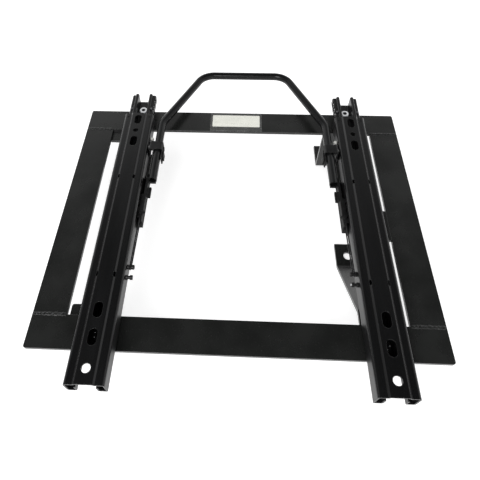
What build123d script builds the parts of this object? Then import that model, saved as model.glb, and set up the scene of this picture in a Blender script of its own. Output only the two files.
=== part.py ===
import math
import os

from build123d import *

os.makedirs("parts", exist_ok=True)

# Sizes are in millimetres. X runs across the car, +Y points to the front of the car and
# +Z points up. The origin is on the floor, under the middle of the bracket's outline.

# Flat bar frame
frame_width = 520.5
frame_depth = 422.2
bar_width = 44.45
bar_thickness = 4.76
bar_top = 86.0  # top of the flat bars above the floor
corner_radius = 3.0
seam_width = 5.0
seam_height = 0.6
fillet_weld = 4.0

# Rails, measured from each rail's own centre line and from the top of the flat bars
rail_inset = {"left": 48.2, "right": 37.9}  # side bar's inner edge to the rail's centre line
sheet = 2.0
upper_rear = -259.0
upper_front = 175.5
lower_rear = -222.0
lower_front = 229.5
lower_web_front = 234.0  # the web runs a little past the lips
web_x, web_z = 10.2, 29.2
shoulder_x, shoulder_z = 12.4, 27.0
wall_x = 22.75
flange_z = 4.8
inner_lip_x, inner_lip_top = 12.8, 16.5
lower_web_z = 1.0
lower_wall_x = 9.9
lower_top_z = 23.5
step_x = 13.6
ledge_z = 20.0
lower_lip_x, lower_lip_bottom = 19.5, 10.0

# Holes in the upper rails
seat_hole_radius = 5.5
seat_slot_length = 20.5
small_hole_radius = 4.2
rear_hole_y = -241.0
small_hole_y = 135.0
front_slot_y = (160.0, 111.5)
rear_slot_y = (-171.0, -205.0)
slit_y = (39.5, -122.5)
slit_x = 11.2
slit_length = 7.0
slit_width = 2.6

# Lock notches in the lower rails
notch_pitch = 12.0
notch_width = 6.6
notch_count = 25
notch_bottom = 11.4
notch_inner_x = 17.4
notch_corner_x = 19.1

# Balls and their cages
running_gap = 0.1
upper_ball_radius = 2.4
lower_ball_radius = 1.9
ball_rows = (-160.0, -135.0, 85.0, 110.0)
cage_ends = (-165.0, 115.0)
cage_stop_y = (194.5, -200.5)
cage_stop_x = 16.4
cage_stop_radius = 1.7
cage_stop_height = 2.6
cage_sheet = 0.5
cage_x = 21.0
cage_hole_gap = 0.25

# Rail bolts
bolt_inset = {"front": 6.6, "rear": 15.6}  # cross bar's outer edge to the bolt
bolt_radius = 4.0
bolt_hole_radius = 4.5
bolt_head_radius = 6.5
bolt_head_height = 8.0
socket_across_flats = 6.0
socket_depth = 4.0
nut_across_flats = 13.0
nut_height = 6.5
thread_gap = 0.05

# Legs of bent strap
strap_width = 38.1
foot_length = 45.5
foot_hole_radius = 7.0
bend_radius = 4.0
left_leg_inset = {"front": 16.3, "rear": 21.4}  # side bar's inner edge to the strap's centre
right_leg_inset = {"front": 56.6, "rear": 41.2}
left_web_inset = {"front": 6.1, "rear": 13.1}  # cross bar's outer edge to the leg's upright face
left_flange_reach = {"front": 22.15, "rear": 16.65}  # flange's end past the cross bar's inner edge
right_rear_flange_inset = 24.6
right_rear_flange_reach = 20.65
right_rear_foot_y = (-40.0, 0.0)
rail_tab_y = (-41.3, 8.7)
rail_tab_reach = 55.8  # from the side bar's inner edge

# Release handle of round tube
handle_radius = 6.35
handle_wall = 1.5
tail_offset = 39.0  # from the rail's centre to the tube's centre
tail_end_y, tail_end_z = 37.0, 24.0
elbow_y = 162.0
front_run_y, front_run_z = 291.75, 16.0
front_corner_inset = {"left": 61.6, "right": 60.3}  # from the tail to the front corner, along X
handle_bend_radius = 30.0
pivot_y = 102.0
pivot_pin_radius = 2.5
pin_gap = 0.05

# Handle brackets on the upper rails
saddle_sheet = 1.8
saddle_y = (95.0, 110.5)
saddle_clear = 0.5
saddle_tab_y = 79.0
saddle_roof_z = 29.3
saddle_foot_z = 8.0
saddle_jog_z = (13.0, 17.0)
saddle_inner_x = 27.3
saddle_leg_low_z = 12.0

# Lock levers
lever_sheet = 2.5
lever_y = (-31.0, 50.0)
lever_pivot_x, lever_pivot_z = 28.0, 6.5
lever_top_z = 17.5
lever_outer_x = 31.0
lever_inner_x = 24.4
lever_end_x = 27.6  # the flange is set back here, past the window's ends
lever_step_y = 34.0  # in front of this the flange lies lower, under the handle's tail
lever_step_drop = 1.9
lever_rivet_y = -17.0
tooth_tip_x = 20.85
tooth_width = 5.2
tooth_count = 4
tooth_mid_y = -4.0
release_tab_y = (12.0, 29.0)
release_tab_x = 34.6
finger_y = (39.0, 49.0)
finger_x = 42.5
barrel_radius = 3.0
hinge_pin_radius = 2.0
window_bottom, window_top = 11.6, 20.0
window_margin = 3.0
hinge_ear_sheet = 1.5
ear_foot_length = 5.0

# Springs
wire_radius = 0.9
spring_pin_radius = 2.2
spring_pin_y = (-107.0, -122.0)
spring_pin_z = 20.0
spring_pin_length = 9.0
coil_z = 19.5
coil_saddle_gap = 2.1
coil_radius = 3.6
coil_turns = 3.25
coil_pitch = 1.62
coil_u = 24.95
coil_wire_radius = 0.8
coil_clear = 0.3  # between the coil and its stud
coil_stud_length = 7.8
coil_arm_y = 56.0

# Blank sticker under clear tape
label_x = (-47.0, 33.5)
label_depth = 27.6
label_inset = 5.9  # from the front bar's outer edge
label_thickness = 0.2
tape_x = (-51.0, 37.0)
tape_thickness = 0.35
tape_gap = 0.04

# The outline runs from the rear end of the upper rails to the front run of the handle.
outline_front = front_run_y + handle_radius
y0 = -(outline_front + upper_rear) / 2
bar_low = bar_top - bar_thickness
half_depth = frame_depth / 2
half_width = frame_width / 2
inner_edge = half_depth - bar_width
side_bar_inner_x = half_width - bar_width
sides = ("left", "right")

rail_x = {"left": rail_inset["left"] - side_bar_inner_x, "right": side_bar_inner_x - rail_inset["right"]}
left_front_leg_x = left_leg_inset["front"] - side_bar_inner_x
left_rear_leg_x = left_leg_inset["rear"] - side_bar_inner_x
right_front_leg_x = side_bar_inner_x - right_leg_inset["front"]
right_rear_leg_x = side_bar_inner_x - right_leg_inset["rear"]
left_front_flange_y = (inner_edge - left_flange_reach["front"], half_depth - left_web_inset["front"])
left_rear_flange_y = (left_web_inset["rear"] - half_depth, left_flange_reach["rear"] - inner_edge)
right_rear_flange_y = (right_rear_flange_inset - half_depth, right_rear_flange_reach - inner_edge)
bolt_y = (half_depth - bolt_inset["front"], bolt_inset["rear"] - half_depth)
coil_y = saddle_y[1] + coil_saddle_gap + coil_radius + coil_wire_radius
label_front = half_depth - label_inset
label_y = (label_front - label_depth, label_front)


def toward_middle(side):
    """+1 where the middle of the bracket lies along +X from this rail."""
    return 1 if side == "left" else -1


def save(builder, name):
    builder.part.label = name
    export_step(builder.part, f"parts/{name}.step")


def section_plane(side, y_low, y_high):
    """Upright plane across a rail. Local x points at the bracket's middle, local y up."""
    s = toward_middle(side)
    y_start = y_high if s > 0 else y_low
    return Plane(origin=(rail_x[side], y0 + y_start, bar_top), x_dir=(s, 0, 0), z_dir=(0, -s, 0))


def plan_plane(side, z):
    """Flat plane over a rail. Local x points at the bracket's middle, local y forward."""
    s = toward_middle(side)
    return Plane(origin=(rail_x[side], y0, bar_top + z), x_dir=(s, 0, 0), z_dir=(0, 0, s))


def box_between(x_range, y_range, z_range, mode=Mode.ADD):
    """Axis-aligned block given by its limits in the part's own frame."""
    size = [high - low for low, high in (x_range, y_range, z_range)]
    centre = [(high + low) / 2 for low, high in (x_range, y_range, z_range)]
    with Locations(tuple(centre)):
        Box(*size, mode=mode)


def rail_box(side, u_range, y_range, z_range, mode=Mode.ADD):
    """Block given in a rail's own frame: u across, y forward, z above the flat bars."""
    s = toward_middle(side)
    x_range = sorted(rail_x[side] + s * u for u in u_range)
    y_limits = [y0 + y for y in y_range]
    z_limits = [bar_top + z for z in z_range]
    box_between(x_range, y_limits, z_limits, mode=mode)


def mirrored(half):
    return half + [(-x, z) for x, z in reversed(half)]


# Frame of flat bar
def cross_bar(front):
    direction = 1 if front else -1
    outer = direction * half_depth
    middle = outer - direction * bar_width / 2
    bolt_line = bolt_y[0] if front else bolt_y[1]
    with BuildPart() as bar:
        with BuildSketch(Plane.XY.offset(bar_low)):
            with Locations((0, y0 + middle)):
                Rectangle(frame_width, bar_width)
        extrude(amount=bar_thickness)
        corners = bar.edges().filter_by(Axis.Z).sort_by(Axis.Y)
        fillet(corners[-2:] if front else corners[:2], corner_radius)
        with Locations(*[(rail_x[side], y0 + bolt_line, bar_top) for side in sides]):
            Hole(bolt_hole_radius, depth=bar_thickness)
    return bar


def side_bar(direction):
    outer = direction * half_width
    limits = sorted((outer, outer - direction * bar_width))
    with BuildPart() as bar:
        box_between(limits, (y0 - inner_edge, y0 + inner_edge), (bar_low, bar_top))
    return bar


save(cross_bar(True), "front_cross_bar")
save(cross_bar(False), "rear_cross_bar")
save(side_bar(-1), "left_side_bar")
save(side_bar(1), "right_side_bar")

# Dressed butt seams on top of the frame's four joints
seam_sag_radius = (seam_width**2 / 4 + seam_height**2) / (2 * seam_height)
seam_length = bar_width - 2.0
with BuildPart() as seams:
    for x_sign in (-1, 1):
        for y_sign in (-1, 1):
            seam_start = x_sign * (half_width - bar_width / 2) - seam_length / 2
            seam_plane = Plane(
                origin=(seam_start, y0 + y_sign * inner_edge, bar_top), x_dir=(0, 1, 0), z_dir=(1, 0, 0)
            )
            with BuildSketch(seam_plane):
                with BuildLine():
                    Polyline((-seam_width / 2, 0), (seam_width / 2, 0))
                    RadiusArc((-seam_width / 2, 0), (seam_width / 2, 0), seam_sag_radius)
                make_face()
            extrude(amount=seam_length)
save(seams, "frame_seams")


# Legs
def leg_path_part(x_middle, points, radius, foot_hole_y, round_end_y=None):
    """Strap of constant width that follows a bent path in the YZ plane. Path points are
    the middle of the strap's thickness, y from the frame's centre, z above the floor."""
    start_x = x_middle - strap_width / 2
    with BuildPart() as leg:
        with BuildSketch(Plane(origin=(start_x, y0, 0), x_dir=(0, 1, 0), z_dir=(1, 0, 0))):
            with BuildLine():
                FilletPolyline(*points, radius=radius)
            trace(line_width=bar_thickness)
        extrude(amount=strap_width)
        with BuildSketch(Plane.XY):
            with Locations((x_middle, y0 + foot_hole_y)):
                Circle(foot_hole_radius)
        extrude(amount=bar_thickness * 1.5, mode=Mode.SUBTRACT)
        if round_end_y is not None:
            ends = leg.edges().filter_by(Axis.Z)
            near_end = [e for e in ends if abs(e.center().Y - (y0 + round_end_y)) < 0.5]
            fillet(near_end, corner_radius)
    return leg


foot_z = bar_thickness / 2
flange_mid_z = bar_low - bar_thickness / 2
left_front_web_y = left_front_flange_y[1] - bar_thickness / 2
left_rear_web_y = left_rear_flange_y[0] + bar_thickness / 2
right_front_web_y = inner_edge + bar_thickness / 2

left_front_leg = leg_path_part(
    left_front_leg_x,
    [
        (left_front_flange_y[0], flange_mid_z),
        (left_front_web_y, flange_mid_z),
        (left_front_web_y, foot_z),
        (left_front_web_y - foot_length, foot_z),
    ],
    bend_radius,
    left_front_web_y - foot_length / 2,
    round_end_y=left_front_flange_y[0],
)
save(left_front_leg, "left_front_leg")

left_rear_leg = leg_path_part(
    left_rear_leg_x,
    [
        (left_rear_flange_y[1], flange_mid_z),
        (left_rear_web_y, flange_mid_z),
        (left_rear_web_y, foot_z),
        (left_rear_web_y + foot_length, foot_z),
    ],
    bend_radius,
    left_rear_web_y + foot_length / 2,
    round_end_y=left_rear_flange_y[1],
)
save(left_rear_leg, "left_rear_leg")

right_front_leg = leg_path_part(
    right_front_leg_x,
    [
        (right_front_web_y, bar_low),
        (right_front_web_y, foot_z),
        (right_front_web_y + foot_length, foot_z),
    ],
    bend_radius,
    right_front_web_y + foot_length / 2,
)
save(right_front_leg, "right_front_leg")

right_rear_leg = leg_path_part(
    right_rear_leg_x,
    [
        (right_rear_flange_y[0], flange_mid_z),
        (right_rear_flange_y[1], flange_mid_z),
        (right_rear_foot_y[0], foot_z),
        (right_rear_foot_y[1], foot_z),
    ],
    bend_radius,
    right_rear_foot_y[1] - foot_hole_radius * 3,
)
save(right_rear_leg, "right_rear_leg")

# Fillet welds between the legs and the cross bars
weld_spots = [
    (left_front_leg_x, inner_edge, -1),
    (left_rear_leg_x, -inner_edge, 1),
    (right_rear_leg_x, -inner_edge, 1),
    (right_front_leg_x, inner_edge + bar_thickness, 1),
]
with BuildPart() as welds:
    for x_middle, y_corner, away in weld_spots:
        under_bar = x_middle == right_front_leg_x
        up = -1 if under_bar else 1
        weld_plane = Plane(
            origin=(x_middle - strap_width / 2 + corner_radius, y0 + y_corner, bar_low),
            x_dir=(0, 1, 0),
            z_dir=(1, 0, 0),
        )
        with BuildSketch(weld_plane):
            Polygon((0, 0), (away * fillet_weld, 0), (0, up * fillet_weld), align=None)
        extrude(amount=strap_width - 2 * corner_radius)
save(welds, "leg_welds")

with BuildPart() as rail_tab:
    tab_y = [y0 + y for y in rail_tab_y]
    box_between((side_bar_inner_x - rail_tab_reach, side_bar_inner_x), tab_y, (bar_low, bar_top))
    fillet(rail_tab.edges().filter_by(Axis.Z).sort_by(Axis.X)[:2], corner_radius)
save(rail_tab, "right_rail_tab")

# Upper rails
upper_half = [
    (inner_lip_x, inner_lip_top),
    (inner_lip_x, flange_z),
    (wall_x, flange_z),
    (wall_x, shoulder_z),
    (shoulder_x, shoulder_z),
    (web_x, web_z),
]
upper_radii_half = [2.0, 2.0, 3.0, 1.2, 1.2]
web_top = web_z + sheet / 2
outer_wall = wall_x + sheet / 2
tooth_rows = [tooth_mid_y + (i - (tooth_count - 1) / 2) * notch_pitch for i in range(tooth_count)]
window_y = (min(tooth_rows) - tooth_width / 2 - window_margin, max(tooth_rows) + tooth_width / 2 + window_margin)


def upper_rail(side):
    s = toward_middle(side)
    with BuildPart() as rail:
        with BuildSketch(section_plane(side, upper_rear, upper_front)):
            with BuildLine():
                FilletPolyline(*mirrored(upper_half), radius=upper_radii_half + upper_radii_half[::-1])
            trace(line_width=sheet)
        extrude(amount=upper_front - upper_rear)
        with BuildSketch(plan_plane(side, web_top)):
            with Locations(*[(0, y) for y in front_slot_y + rear_slot_y]):
                SlotOverall(seat_slot_length, 2 * seat_hole_radius, rotation=90)
            with Locations((0, rear_hole_y)):
                Circle(seat_hole_radius)
            with Locations((0, small_hole_y)):
                Circle(small_hole_radius)
        extrude(amount=-s * 2 * sheet, mode=Mode.SUBTRACT)
        # Short slits pierced through the bends beside the web
        for y in slit_y:
            for u in (-slit_x, slit_x):
                span = (u - slit_width / 2, u + slit_width / 2)
                slit_span = (y - slit_length / 2, y + slit_length / 2)
                rail_box(side, span, slit_span, (shoulder_z - sheet, web_top), mode=Mode.SUBTRACT)
        # Window for the lever's teeth
        rail_box(
            side,
            (wall_x - sheet, wall_x + sheet),
            window_y,
            (window_bottom, window_top),
            mode=Mode.SUBTRACT,
        )
    return rail


# Lower rails
lower_half = [
    (lower_lip_x, lower_lip_bottom),
    (lower_lip_x, ledge_z),
    (step_x, ledge_z),
    (step_x, lower_top_z),
    (lower_wall_x, lower_top_z),
    (lower_wall_x, lower_web_z),
]
lower_radii_half = [1.8, 1.2, 1.5, 1.5, 2.0]


def lower_rail(side):
    first_notch = tooth_mid_y + notch_pitch / 2 - 6 * notch_pitch
    notch_outer = lower_lip_x + sheet
    with BuildPart() as rail:
        with BuildSketch(section_plane(side, lower_rear, lower_web_front)):
            with BuildLine():
                FilletPolyline(*mirrored(lower_half), radius=lower_radii_half + lower_radii_half[::-1])
            trace(line_width=sheet)
        extrude(amount=lower_web_front - lower_rear)
        web_face_z = lower_web_z + sheet / 2
        rail_box(
            side,
            (-notch_outer, notch_outer),
            (lower_front, lower_web_front + sheet),
            (web_face_z, lower_top_z + sheet),
            mode=Mode.SUBTRACT,
        )
        with Locations(*[(rail_x[side], y0 + y, bar_top + web_face_z) for y in bolt_y]):
            Hole(bolt_hole_radius, depth=sheet)
        for i in range(notch_count):
            y_low = first_notch + i * notch_pitch - notch_width / 2
            span = (y_low, y_low + notch_width)
            rail_box(side, (notch_inner_x, notch_outer), span, (notch_bottom, ledge_z - sheet), mode=Mode.SUBTRACT)
            rail_box(side, (notch_corner_x, notch_outer), span, (notch_bottom, ledge_z + sheet), mode=Mode.SUBTRACT)
    return rail


for side in sides:
    save(upper_rail(side), f"{side}_upper_rail")
    save(lower_rail(side), f"{side}_lower_rail")

# Rail bolts and their nuts
bolt_spots = [(rail_x[side], y0 + y) for side in sides for y in bolt_y]
head_under = bar_top + lower_web_z + sheet / 2
with BuildPart() as bolts:
    with BuildSketch(Plane.XY.offset(head_under)):
        with Locations(*bolt_spots):
            Circle(bolt_head_radius)
    extrude(amount=bolt_head_height)
    chamfer(bolts.edges().group_by(Axis.Z)[-1], 0.6)
    with BuildSketch(Plane.XY.offset(head_under)):
        with Locations(*bolt_spots):
            Circle(bolt_radius)
    extrude(amount=-(sheet + bar_thickness + nut_height + 1.5))
    with BuildSketch(Plane.XY.offset(head_under + bolt_head_height)):
        with Locations(*bolt_spots):
            RegularPolygon(socket_across_flats / 2, 6, major_radius=False)
    extrude(amount=-socket_depth, mode=Mode.SUBTRACT)
save(bolts, "rail_bolts")

with BuildPart() as nuts:
    with BuildSketch(Plane.XY.offset(bar_low)):
        with Locations(*bolt_spots):
            RegularPolygon(nut_across_flats / 2, 6, major_radius=False)
            Circle(bolt_radius + thread_gap, mode=Mode.SUBTRACT)
    extrude(amount=-nut_height)
save(nuts, "rail_nuts")

# Balls and cages. The upper row rolls in the shoulder's corner on the ledge of the lower
# rail, and the lower row in the flange's corner under the lower rail's lip.
inner_wall = wall_x - sheet / 2
upper_ball_x = inner_wall - running_gap - upper_ball_radius
upper_ball_z = shoulder_z - sheet / 2 - running_gap - upper_ball_radius
lower_ball_x = inner_wall - running_gap - lower_ball_radius
lower_ball_z = flange_z + sheet / 2 + running_gap + lower_ball_radius


def ball_row(side, ball_u, ball_z, radius):
    with BuildPart() as balls:
        spots = [
            (rail_x[side] + direction * ball_u, y0 + y, bar_top + ball_z)
            for direction in (-1, 1)
            for y in ball_rows
        ]
        with Locations(*spots):
            Sphere(radius)
    return balls


def cage_strips(side, z_range, ball_u, ball_z, radius):
    """Two thin strips with a pocket round each ball, one at each side of the rail."""
    reach = math.sqrt(radius**2 - (cage_x - cage_sheet / 2 - ball_u) ** 2)
    with BuildPart() as strips:
        for direction in (-1, 1):
            span = sorted(direction * (cage_x + half * cage_sheet / 2) for half in (-1, 1))
            rail_box(side, span, cage_ends, z_range)
        pocket_plane = Plane(
            origin=(rail_x[side] - outer_wall, y0, bar_top + ball_z), x_dir=(0, 1, 0), z_dir=(1, 0, 0)
        )
        with BuildSketch(pocket_plane):
            with Locations(*[(y, 0) for y in ball_rows]):
                Circle(reach + cage_hole_gap)
        extrude(amount=2 * outer_wall, mode=Mode.SUBTRACT)
    return strips


def cage_stops(side):
    """Small upright pins on the ledges that keep the cages from running out."""
    with BuildPart() as stops:
        with BuildSketch(Plane.XY.offset(bar_top + ledge_z + sheet / 2)):
            with Locations(*[(rail_x[side] + u, y0 + y) for u in (-cage_stop_x, cage_stop_x) for y in cage_stop_y]):
                Circle(cage_stop_radius)
        extrude(amount=cage_stop_height)
        chamfer(stops.edges().filter_by(GeomType.CIRCLE).group_by(Axis.Z)[-1], 0.4)
    return stops


upper_cage_z = (19.7, 24.4)
lower_cage_z = (6.5, 11.2)
for side in sides:
    save(cage_stops(side), f"{side}_cage_stops")
    save(ball_row(side, upper_ball_x, upper_ball_z, upper_ball_radius), f"{side}_upper_balls")
    save(ball_row(side, lower_ball_x, lower_ball_z, lower_ball_radius), f"{side}_lower_balls")
    upper_cages = cage_strips(side, upper_cage_z, upper_ball_x, upper_ball_z, upper_ball_radius)
    save(upper_cages, f"{side}_upper_cages")
    lower_cages = cage_strips(side, lower_cage_z, lower_ball_x, lower_ball_z, lower_ball_radius)
    save(lower_cages, f"{side}_lower_cages")

# Release handle
tail_slope = (front_run_z - tail_end_z) / (front_run_y - tail_end_y)
tail_x = {side: rail_x[side] + toward_middle(side) * tail_offset for side in sides}


def handle_z(y):
    return tail_end_z + tail_slope * (y - tail_end_y)


pivot_z = handle_z(pivot_y)


def handle_point(x, y):
    return (x, y0 + y, bar_top + handle_z(y))


handle_corners = [
    handle_point(tail_x["left"], tail_end_y),
    handle_point(tail_x["left"], elbow_y),
    handle_point(tail_x["left"] + front_corner_inset["left"], front_run_y),
    handle_point(tail_x["right"] - front_corner_inset["right"], front_run_y),
    handle_point(tail_x["right"], elbow_y),
    handle_point(tail_x["right"], tail_end_y),
]
tail_direction = (0, 1, tail_slope)
tube_plane = Plane(origin=handle_corners[0], x_dir=(1, 0, 0), z_dir=tail_direction)
with BuildPart() as handle:
    with BuildLine():
        FilletPolyline(*handle_corners, radius=handle_bend_radius)
    with BuildSketch(tube_plane):
        Circle(handle_radius)
        Circle(handle_radius - handle_wall, mode=Mode.SUBTRACT)
    sweep()
    pin_plane = Plane(
        origin=(tail_x["left"] - handle_radius - 1, y0 + pivot_y, bar_top + pivot_z), x_dir=(0, 1, 0), z_dir=(1, 0, 0)
    )
    with BuildSketch(pin_plane):
        Circle(pivot_pin_radius + pin_gap)
    extrude(amount=tail_x["right"] - tail_x["left"] + 2 * handle_radius + 2, mode=Mode.SUBTRACT)
save(handle, "release_handle")

# Brackets that carry the handle, one on each upper rail
saddle_outer_u = tail_offset + handle_radius + saddle_clear
half_saddle = saddle_sheet / 2


def handle_bracket(side):
    """Strap with a foot on the rail's wall, an inner leg jogged out from it, a roof over the
    tube and an outer leg that reaches rearward as a tab beside the tube."""
    s = toward_middle(side)
    with BuildPart() as bracket:
        with BuildSketch(section_plane(side, *saddle_y)):
            with BuildLine():
                FilletPolyline(
                    (outer_wall + half_saddle, saddle_foot_z),
                    (outer_wall + half_saddle, saddle_jog_z[0]),
                    (saddle_inner_x, saddle_jog_z[1]),
                    (saddle_inner_x, saddle_roof_z + half_saddle),
                    (saddle_outer_u + half_saddle, saddle_roof_z + half_saddle),
                    (saddle_outer_u + half_saddle, saddle_leg_low_z),
                    radius=[2.0, 2.0, 2.0, 3.2],
                )
            trace(line_width=saddle_sheet)
        extrude(amount=saddle_y[1] - saddle_y[0])
        rail_box(
            side,
            (saddle_outer_u, saddle_outer_u + saddle_sheet),
            (saddle_tab_y, saddle_y[0]),
            (saddle_leg_low_z, saddle_roof_z - 2.0),
        )
        tab_corners = bracket.edges().filter_by(Axis.X).group_by(Axis.Y)[0]
        fillet(tab_corners, 2.0)
        hole_plane = Plane(
            origin=(rail_x[side] + s * outer_wall, y0 + pivot_y, bar_top + pivot_z),
            x_dir=(0, s, 0),
            z_dir=(s, 0, 0),
        )
        with BuildSketch(hole_plane):
            Circle(pivot_pin_radius)
        extrude(amount=saddle_outer_u + 2 * saddle_sheet - outer_wall, mode=Mode.SUBTRACT)
    return bracket


def pivot_pin(side):
    """Headed pin along X through the bracket and the tube, with its tail inside the jog."""
    s = toward_middle(side)
    start_u = saddle_inner_x - half_saddle - 0.8
    start = rail_x[side] + s * start_u
    head_length = 1.5
    shank = saddle_outer_u + saddle_sheet - start_u
    with BuildPart() as pin:
        with BuildSketch(Plane(origin=(start, y0 + pivot_y, bar_top + pivot_z), x_dir=(0, s, 0), z_dir=(s, 0, 0))):
            Circle(pivot_pin_radius)
        extrude(amount=shank)
        head_plane = Plane(
            origin=(start + s * shank, y0 + pivot_y, bar_top + pivot_z), x_dir=(0, s, 0), z_dir=(s, 0, 0)
        )
        with BuildSketch(head_plane):
            Circle(pivot_pin_radius * 1.6)
        extrude(amount=head_length)
        fillet(pin.faces().sort_by(Axis.X)[-1 if s > 0 else 0].edges(), 0.6)
    return pin


# Lock levers, hinged along Y beside each upper rail
def lock_lever(side):
    """Angle with teeth along its upper flange. Its front end is stepped down and carries
    the finger that the handle's tail presses."""
    flange_z_range = (lever_top_z - lever_sheet, lever_top_z)
    stepped_top = lever_top_z - lever_step_drop
    stepped_z_range = (stepped_top - lever_sheet, stepped_top)
    wide_y = (min(tooth_rows) - tooth_width / 2, max(tooth_rows) + tooth_width / 2)
    leg_u = (lever_outer_x - lever_sheet, lever_outer_x)
    main_y = (lever_y[0], lever_step_y)
    front_y = (lever_step_y, lever_y[1])
    with BuildPart() as lever:
        rail_box(side, (lever_end_x, lever_outer_x), main_y, flange_z_range)
        rail_box(side, leg_u, main_y, (lever_pivot_z, lever_top_z))
        rail_box(side, (lever_inner_x, lever_end_x), wide_y, flange_z_range)
        for y in tooth_rows:
            tooth_y = (y - tooth_width / 2, y + tooth_width / 2)
            rail_box(side, (tooth_tip_x, lever_inner_x), tooth_y, flange_z_range)
        rail_box(side, (lever_outer_x, release_tab_x), release_tab_y, flange_z_range)
        rail_box(side, (lever_end_x, lever_outer_x), front_y, stepped_z_range)
        rail_box(side, leg_u, front_y, (lever_pivot_z, stepped_top))
        rail_box(side, (lever_outer_x, finger_x), finger_y, stepped_z_range)
        rear_corners = lever.edges().filter_by(Axis.Z).group_by(Axis.Y)[0].sort_by(Axis.X)
        fillet(rear_corners[-1 if side == "left" else 0], 1.2)
        with BuildSketch(section_plane(side, *lever_y)):
            with Locations((lever_pivot_x, lever_pivot_z)):
                Circle(barrel_radius)
        extrude(amount=lever_y[1] - lever_y[0])
        with BuildSketch(section_plane(side, *lever_y)):
            with Locations((lever_pivot_x, lever_pivot_z)):
                Circle(hinge_pin_radius + pin_gap)
        extrude(amount=lever_y[1] - lever_y[0], mode=Mode.SUBTRACT)
    return lever


ear_gap = 0.4
ear_top = lever_pivot_z + barrel_radius + 1.5
hinge_y = (lever_y[0] - ear_gap - hinge_ear_sheet, lever_y[1] + ear_gap + hinge_ear_sheet)


def hinge_bracket(side):
    """Two angle ears on the rail's wall, one at each end of the lever, for the hinge pin."""
    ear_low = lever_pivot_z - barrel_radius - 0.8
    rear_ear_y = (hinge_y[0], hinge_y[0] + hinge_ear_sheet)
    front_ear_y = (hinge_y[1] - hinge_ear_sheet, hinge_y[1])
    with BuildPart() as bracket:
        for ear_y, foot_y in (
            (rear_ear_y, (rear_ear_y[0] - ear_foot_length, rear_ear_y[0])),
            (front_ear_y, (front_ear_y[1], front_ear_y[1] + ear_foot_length)),
        ):
            rail_box(side, (outer_wall, lever_pivot_x + barrel_radius), ear_y, (ear_low, ear_top))
            rail_box(side, (outer_wall, outer_wall + hinge_ear_sheet), foot_y, (ear_low, ear_top))
        with BuildSketch(section_plane(side, *hinge_y)):
            with Locations((lever_pivot_x, lever_pivot_z)):
                Circle(hinge_pin_radius)
        extrude(amount=hinge_y[1] - hinge_y[0], mode=Mode.SUBTRACT)
    return bracket


def hinge_pin(side):
    with BuildPart() as pin:
        with BuildSketch(section_plane(side, *hinge_y)):
            with Locations((lever_pivot_x, lever_pivot_z)):
                Circle(hinge_pin_radius)
        extrude(amount=hinge_y[1] - hinge_y[0])
    return pin


def lever_rivet(side):
    """Domed rivet head on top of the lever."""
    with BuildPart() as rivet:
        with BuildSketch(plan_plane(side, lever_top_z)):
            with Locations(((lever_inner_x + lever_outer_x) / 2, lever_rivet_y)):
                Circle(2.8)
        extrude(amount=toward_middle(side) * 1.4)
        fillet(rivet.faces().sort_by(Axis.Z)[-1].edges(), 0.9)
    return rivet


# Wire return springs and the studs that hold them
spring_u = outer_wall + 4.2
spring_foot_y = hinge_y[0] + hinge_ear_sheet / 2
spring_tip_y = lever_y[0] + 3.0
spring_tip_z = lever_top_z + wire_radius + 0.8


def stud(side, y, z, radius, length):
    """Round stud standing out of the rail's wall."""
    s = toward_middle(side)
    origin = (rail_x[side] + s * outer_wall, y0 + y, bar_top + z)
    with BuildPart() as post:
        with BuildSketch(Plane(origin=origin, x_dir=(0, s, 0), z_dir=(s, 0, 0))):
            Circle(radius)
        extrude(amount=length)
        chamfer(post.faces().sort_by(Axis.X)[-1 if s > 0 else 0].edges(), 0.6)
    return post.part


def spring_studs(side):
    with BuildPart() as studs:
        for y in spring_pin_y:
            add(stud(side, y, spring_pin_z, spring_pin_radius, spring_pin_length))
        add(stud(side, coil_y, coil_z, coil_radius - coil_wire_radius - coil_clear, coil_stud_length))
    return studs


def lock_spring(side):
    """Hairpin of round wire round the front stud: the lower leg rests on the hinge bracket
    and the upper one reaches over the lever's rear end."""
    s = toward_middle(side)
    x = rail_x[side] + s * spring_u
    turn = spring_pin_radius + wire_radius + 0.1
    turn_y = y0 + spring_pin_y[0] - turn
    mid_z = bar_top + spring_pin_z
    foot = Vector(x, y0 + spring_foot_y, bar_top + ear_top + wire_radius)
    low = Vector(x, turn_y, mid_z - turn)
    high = Vector(x, turn_y, mid_z + turn + 0.2)
    tip = Vector(x, y0 + spring_tip_y, bar_top + spring_tip_z)
    with BuildPart() as spring:
        with BuildLine():
            FilletPolyline(foot, low, high, tip, radius=turn - 0.1)
        with BuildSketch(Plane(origin=foot, z_dir=low - foot)):
            Circle(wire_radius)
        sweep()
    return spring


def handle_spring(side):
    """Torsion coil on a stud in front of the bracket, with a straight arm to the rear. The
    coil's axis leans by its lead angle, so that the arm leaves it along the rail. The right
    one is the mirror image of the left one."""
    length = coil_turns * coil_pitch
    lead = math.atan(coil_pitch / (2 * math.pi * coil_radius))
    centre = (rail_x["left"] + coil_u, y0 + coil_y + length * math.sin(lead) / 2, bar_top + coil_z)
    lean = (math.cos(lead), -math.sin(lead), 0)
    with BuildPart() as left_spring:
        with BuildLine():
            coil = Helix(coil_pitch, length, coil_radius, center=centre, direction=lean, lefthand=True)
            Line(coil @ 1, coil @ 1 + (coil % 1) * (coil_y - coil_arm_y))
        with BuildSketch(Plane(origin=coil @ 0, z_dir=coil % 0)):
            Circle(coil_wire_radius)
        sweep(is_frenet=True)
    if side == "left":
        return left_spring
    with BuildPart() as right_spring:
        add(mirror(left_spring.part, about=Plane.YZ.offset((rail_x["left"] + rail_x["right"]) / 2)))
    return right_spring


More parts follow.
